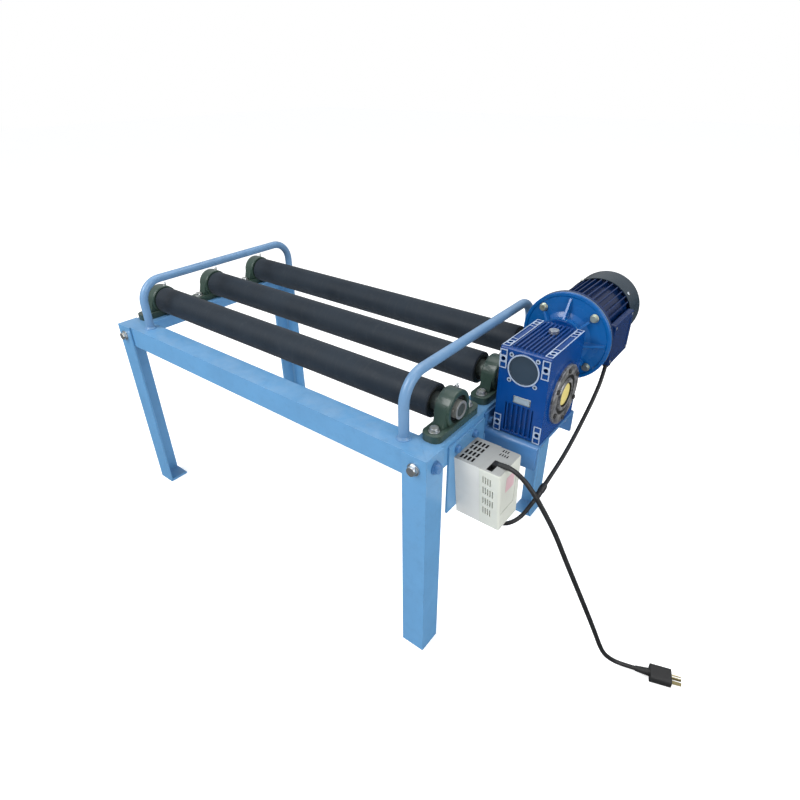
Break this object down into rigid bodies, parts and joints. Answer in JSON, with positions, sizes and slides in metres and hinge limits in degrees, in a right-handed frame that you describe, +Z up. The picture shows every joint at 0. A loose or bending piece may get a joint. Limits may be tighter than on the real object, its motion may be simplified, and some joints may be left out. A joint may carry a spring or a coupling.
{
  "type": "bottle roller",
  "caption": "Floor-standing roller rack: parallel driven and idle rollers between guard hoops on an angle stand, turned by a flange motor and worm gearbox.",
  "frame": {"origin": "on the floor under the middle of the machine's outline, measured without its free cables", "axes": "+X along the rollers towards the gearbox end, +Y from the inverter side to the motor side, +Z up"},
  "size_m": [1.3881, 0.61, 0.6655],
  "materials": {
    "frame_blue": "semi-gloss powder coat",
    "gearbox_blue": "gloss enamel on casting",
    "motor_navy": "semi-gloss enamel on ribbed casting",
    "flange_blue": "gloss enamel on casting",
    "bearing_green": "satin enamel on casting",
    "roller_rubber": "satin",
    "machined_steel": "turned",
    "zinc_steel": "zinc plated",
    "bare_cast": "machined casting",
    "cover_slate": "satin",
    "cap_yellow": "satin",
    "bronze": "machined",
    "case_grey": "fine moulded texture",
    "base_grey": "fine moulded texture",
    "black_plastic": "satin",
    "cable_black": "satin sheath"
  },
  "bodies": {
    "frame": {"front_rail": "frame_blue", "rear_rail": "frame_blue", "left_end_rail": "frame_blue", "right_end_rail": "frame_blue", "leg_front_left": "frame_blue", "leg_rear_left": "frame_blue", "leg_front_right": "frame_blue", "leg_rear_right": "frame_blue", "left_guard_hoop": "frame_blue", "right_guard_hoop": "frame_blue", "gearbox_bracket": "frame_blue", "inverter_plate": "frame_blue", "frame_bolts": "zinc_steel", "bearing_bolts": "zinc_steel", "drive_bolts": "zinc_steel", "cover_screws": "zinc_steel", "grease_nipples": "zinc_steel", "breather_plug": "zinc_steel", "bearing_front_left": "bearing_green", "bearing_middle_left": "bearing_green", "bearing_rear_left": "bearing_green", "bearing_front_right": "bearing_green", "bearing_middle_right": "bearing_green", "bearing_rear_right": "bearing_green", "bearing_outer_rings": "machined_steel", "worm_bearings": "machined_steel", "gearbox_housing": "gearbox_blue", "gearbox_side_covers": "bare_cast", "shaft_end_cap": "cap_yellow", "worm_end_cover": "cover_slate", "cable_gland": "black_plastic", "power_plug": "black_plastic", "cable_splice": "black_plastic", "input_flange": "flange_blue", "motor_end_shields": "motor_navy", "motor_body": "motor_navy", "fan_cover": "motor_navy", "terminal_box": "motor_navy", "terminal_lid": "motor_navy", "inverter_base": "base_grey", "inverter_cover": "case_grey", "motor_cable": "cable_black", "power_cord": "cable_black"},
    "front_roller": {"front_roller_sleeve": "roller_rubber", "front_roller_core": "machined_steel", "front_roller_shaft": "machined_steel", "front_bearing_rings": "machined_steel"},
    "drive_roller": {"middle_roller_sleeve": "roller_rubber", "middle_roller_core": "machined_steel", "middle_roller_shaft": "machined_steel", "middle_bearing_rings": "machined_steel", "hollow_output_shaft": "machined_steel", "worm_wheel": "bronze"},
    "rear_roller": {"rear_roller_sleeve": "roller_rubber", "rear_roller_core": "machined_steel", "rear_roller_shaft": "machined_steel", "rear_bearing_rings": "machined_steel"},
    "motor_rotor": {"rotor_shaft": "machined_steel", "cooling_fan": "black_plastic", "worm_shaft": "machined_steel"}
  },
  "joints": [
    {"name": "front_roller_spin", "type": "hinge", "parent": "frame", "child": "front_roller", "pos_m": [-0.078, -0.178, 0.5165], "axis": [1, 0, 0], "continuous": true},
    {"name": "drive_roller_spin", "type": "hinge", "parent": "frame", "child": "drive_roller", "pos_m": [-0.078, -0.022, 0.5165], "axis": [1, 0, 0], "continuous": true},
    {"name": "rear_roller_spin", "type": "hinge", "parent": "frame", "child": "rear_roller", "pos_m": [-0.078, 0.134, 0.5165], "axis": [1, 0, 0], "continuous": true},
    {"name": "motor_spin", "type": "hinge", "parent": "frame", "child": "motor_rotor", "pos_m": [0.461, 0.071, 0.5795], "axis": [0, 1, 0], "continuous": true}
  ],
  "couplings": [
    {"joint": "motor_spin", "follows": "drive_roller_spin", "ratio": 30}
  ]
}
